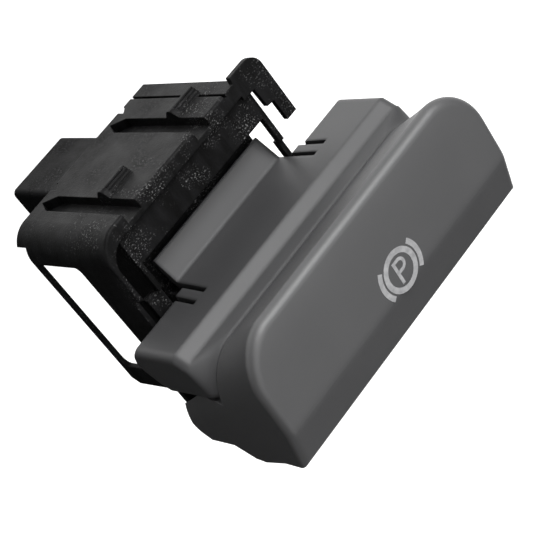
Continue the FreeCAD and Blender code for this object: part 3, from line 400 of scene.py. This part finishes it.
def eased(share):
    """A share from 0 to 1 with a soft start and end."""
    return share * share * (3 - 2 * share)


def crown_shift(y, z):
    """How far a point of the cap moves up, all in mm."""
    lift = CROWN_LIFT * share_between(y, CROWN_FRONT_Y, CROWN_LEVEL_Y)
    drop = RIM_DROP * math.exp(-max(0.0, RIM_Y - y) / RIM_REACH)
    return eased(share_between(z, CROWN_FOOT_Z, CROWN_FULL_Z)) * (lift - drop)


def face_height(y):
    """The crowned sign face's height over a place, in mm."""
    flat = RIM_Z + FACE_SLOPE * (y - RIM_Y)
    return flat + crown_shift(y, flat)


def steps(first, last, step):
    return [first + step * count for count in range(round((last - first) / step) + 1)]


def cut_across(shape, place, normal):
    everything = shape.verts[:] + shape.edges[:] + shape.faces[:]
    bmesh.ops.bisect_plane(shape, geom=everything, dist=CUT_SNAP * MM,
                           plane_co=Vector(place) * MM, plane_no=normal)


def make_crowned_cap():
    shape = bmesh.new()
    shape.from_mesh(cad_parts["paddle_cap"].data)
    for y in steps(CROWN_FRONT_Y, CUT_LAST_Y, CUT_STEP_Y):
        cut_across(shape, (0, y, 0), (0, 1, 0))
    for z in steps(CROWN_FOOT_Z, CUT_LAST_Z, CUT_STEP_Z):
        cut_across(shape, (0, 0, z), (0, 0, 1))
    bmesh.ops.remove_doubles(shape, verts=shape.verts, dist=WELD_REACH * MM)
    for vert in shape.verts:
        vert.co.z += crown_shift(vert.co.y / MM, vert.co.z / MM) * MM
    mesh = bpy.data.meshes.new("paddle_skin")
    shape.to_mesh(mesh)
    shape.free()
    mesh.shade_smooth()
    mesh.set_sharp_from_angle(angle=SMOOTH_ANGLE)
    mesh.materials.append(soft_grey)
    skin = add_object("paddle_skin", mesh)
    weighted = skin.modifiers.new("normals", "WEIGHTED_NORMAL")
    weighted.keep_sharp = True
    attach(skin, "paddle")
    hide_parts("paddle_cap")


def make_spring(node):
    spring = add_object(node + "_wire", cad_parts[node].data.copy())
    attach(spring, "housing")
    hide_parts(node)
    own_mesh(spring)


# The parking brake sign, in mm: a ring between two arcs round a plain letter P

SIGN_X = 3.1
SIGN_Y = -12.7
SIGN_THICK = 0.04
SIGN_SUNK = 0.01
RING_OUTER = 4.25
RING_INNER = 3.12
ARC_OUTER = 5.7
ARC_INNER = 4.65
ARC_HALF_ANGLE = math.radians(37.0)
STEM_LEFT = -1.14
STEM_RIGHT = -0.45
STEM_BOTTOM = -2.45
STEM_TOP = 2.34
BOWL_CENTRE = (0.45, 0.95)
BOWL_OUTER = 1.4
BOWL_INNER = 0.75
ANGLE_STEP = math.radians(4.0)
FEWEST_STEPS = 2


def band(inner, outer, start, end, centre=(0.0, 0.0)):
    """Two rows of points along a curved band, from one angle to another."""
    count = max(FEWEST_STEPS, round((end - start) / ANGLE_STEP))
    angles = [start + (end - start) * step / count for step in range(count + 1)]
    return [[(centre[0] + radius * math.cos(angle), centre[1] + radius * math.sin(angle))
             for angle in angles] for radius in (inner, outer)]


def stem():
    return [[(side, STEM_BOTTOM), (side, STEM_TOP)] for side in (STEM_LEFT, STEM_RIGHT)]


def bowl():
    """The letter's bowl: straight from the stem, half round, and straight back."""
    rows = band(BOWL_INNER, BOWL_OUTER, -math.pi / 2, math.pi / 2, BOWL_CENTRE)
    return [[(STEM_RIGHT, row[0][1])] + row + [(STEM_RIGHT, row[-1][1])] for row in rows]


def row_of_points(drawing, row, lift):
    """The corners of one row of a band, laid on the sign face and raised by the lift."""
    places = [(SIGN_X + u, SIGN_Y + v) for u, v in row]
    return [drawing.verts.new(Vector((x, y, face_height(y) + lift)) * MM) for x, y in places]


def raised_band(drawing, rows, closed=False):
    """A band as a thin plate on the sign face; a closed one meets its own start."""
    low_in, low_out = [row_of_points(drawing, row, -SIGN_SUNK) for row in rows]
    top_in, top_out = [row_of_points(drawing, row, SIGN_THICK) for row in rows]
    count = len(low_in)
    for a in range(count if closed else count - 1):
        b = (a + 1) % count
        drawing.faces.new((top_in[a], top_out[a], top_out[b], top_in[b]))
        drawing.faces.new((low_in[a], low_in[b], low_out[b], low_out[a]))
        drawing.faces.new((low_in[a], top_in[a], top_in[b], low_in[b]))
        drawing.faces.new((low_out[a], low_out[b], top_out[b], top_out[a]))
    if not closed:
        for end in (0, -1):
            drawing.faces.new((low_in[end], low_out[end], top_out[end], top_in[end]))


def make_sign():
    drawing = bmesh.new()
    ring = [row[:-1] for row in band(RING_INNER, RING_OUTER, 0.0, math.tau)]
    raised_band(drawing, ring, closed=True)
    for side in (0.0, math.pi):
        arc = band(ARC_INNER, ARC_OUTER, side - ARC_HALF_ANGLE, side + ARC_HALF_ANGLE)
        raised_band(drawing, arc)
    raised_band(drawing, stem())
    raised_band(drawing, bowl())
    bmesh.ops.recalc_face_normals(drawing, faces=drawing.faces)
    mesh = bpy.data.meshes.new("parking_sign")
    drawing.to_mesh(mesh)
    drawing.free()
    mesh.materials.append(sign_paint)
    sign = add_object("parking_sign", mesh)
    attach(sign, "paddle")


# The studio: a pale floor, a sky, black cards and a key lamp

CENTRE = Vector((0.0, -3.0 * MM, 0.0))


def seen_directly(tree, mirrored_share=None):
    """One where the camera, a gloss or a clear piece looks straight at it."""
    path = tree.nodes.new("ShaderNodeLightPath")
    mirrored = greater(tree, path.outputs["Is Glossy Ray"], path.outputs["Is Transmission Ray"])
    if mirrored_share is not None:
        mirrored = times(tree, mirrored, mirrored_share)
    return greater(tree, path.outputs["Is Camera Ray"], mirrored)


def make_square(name, half, z=0.0):
    mesh = bpy.data.meshes.new(name)
    corners = [(-half, -half, z), (half, -half, z), (half, half, z), (-half, half, z)]
    mesh.from_pydata(corners, [], [(0, 1, 2, 3)])
    return add_object(name, mesh)


# The floor is seen as plain white, but gives little light back to the part
FLOOR_Z = -250.0 * MM
FLOOR_REACH = 3.0
FLOOR_SEEN = (0.75, 0.75, 0.75, 1)
FLOOR_GIVEN = (0.16, 0.16, 0.16, 1)
FLOOR_SHINE = 0.55
FLOOR_ROUGH = 0.9
WHITE = (1, 1, 1, 1)


def make_floor():
    floor = make_square("floor", FLOOR_REACH, FLOOR_Z)
    material, tree, shader = new_material("floor")
    seen = seen_directly(tree)
    shine = mapped(tree, seen, 0.0, FLOOR_SHINE, start=0.0, end=1.0)
    feed(tree, shader.inputs["Base Color"], mixed(tree, seen, FLOOR_GIVEN, FLOOR_SEEN))
    feed(tree, shader.inputs["Emission Color"], WHITE)
    feed(tree, shader.inputs["Emission Strength"], shine)
    feed(tree, shader.inputs["Roughness"], FLOOR_ROUGH)
    feed(tree, shader.inputs["Specular IOR Level"], 0.0)
    floor.data.materials.append(material)


# The sky as heights and brightness: bright overhead, and dim lower than 35 degrees up
SKY_STOPS = [(-1.0, 0.03), (0.0, 0.03), (0.34, 0.04), (0.55, 0.12), (0.68, 0.5), (0.82, 1.4),
             (1.0, 1.7)]
# Up to this height a gloss sees it plain white, as the camera does everywhere
WHITE_UP_TO = 0.03
WHITE_FADE = 0.05


def make_sky():
    world = bpy.data.worlds.new("world")
    bpy.context.scene.world = world
    world.use_nodes = True
    tree = world.node_tree
    coords = tree.nodes.new("ShaderNodeTexCoord")
    split = tree.nodes.new("ShaderNodeSeparateXYZ")
    tree.links.new(coords.outputs["Generated"], split.inputs["Vector"])
    height = split.outputs["Z"]
    share = mapped(tree, height, 0.0, 1.0, start=-1.0, end=1.0)
    brightest = SKY_STOPS[-1][1]
    stops = [((place + 1) / 2, (level / brightest,) * 3) for place, level in SKY_STOPS]
    sky = tree.nodes["Background"]
    feed(tree, sky.inputs["Color"], ramp(tree, share, stops))
    feed(tree, sky.inputs["Strength"], brightest)
    white = tree.nodes.new("ShaderNodeBackground")
    feed(tree, white.inputs["Color"], WHITE)
    low = mapped(tree, height, 1.0, 0.0, start=WHITE_UP_TO - WHITE_FADE, end=WHITE_UP_TO)
    choice = tree.nodes.new("ShaderNodeMixShader")
    tree.links.new(seen_directly(tree, low), choice.inputs["Fac"])
    tree.links.new(sky.outputs["Background"], choice.inputs[1])
    tree.links.new(white.outputs["Background"], choice.inputs[2])
    tree.links.new(choice.outputs["Shader"], tree.nodes["World Output"].inputs["Surface"])


# Black studio cards: each one's direction from the part, its distance and half its side
DARK_CARDS = {
    "low_card": {"towards": (-0.40, -0.47, -0.79), "away": 0.13, "half": 0.16},
    "front_card": {"towards": (0.42, -0.89, 0.20), "away": 0.40, "half": 0.16},
}
CARD_COLOUR = (0.01, 0.01, 0.01, 1)


def make_dark_card(name, towards, away, half):
    """A black card which only gloss and soft light see; it keeps the part's dark sides dark."""
    direction = Vector(towards).normalized()
    material, tree, shader = new_material(name)
    feed(tree, shader.inputs["Base Color"], CARD_COLOUR)
    feed(tree, shader.inputs["Roughness"], 1.0)
    card = make_square(name, half)
    card.data.materials.append(material)
    card.location = CENTRE + direction * away
    card.rotation_euler = direction.to_track_quat("-Z", "Y").to_euler()
    card.visible_camera = False
    card.visible_shadow = False


# The key lamp stands above and behind, and lights the bezel's shoulder and the cap's crest
KEY_FROM = Vector((0.28, 0.72, 0.62)).normalized()
KEY_AWAY = 0.9
KEY_SIDE = 0.45
KEY_POWER = 11.0


def make_key_lamp():
    data = bpy.data.lights.new("key", "AREA")
    data.shape = "SQUARE"
    data.size = KEY_SIDE
    data.energy = KEY_POWER
    lamp = add_object("key", data)
    lamp.location = CENTRE + KEY_FROM * KEY_AWAY
    lamp.rotation_euler = (-KEY_FROM).to_track_quat("-Z", "Y").to_euler()


finish_nodes()
make_crowned_cap()
make_spring("pull_spring")
make_spring("push_spring")
make_sign()
make_camera()
make_floor()
make_sky()
for card_name, card_values in DARK_CARDS.items():
    make_dark_card(card_name, **card_values)
make_key_lamp()

bpy.context.scene.view_settings.view_transform = "Standard"
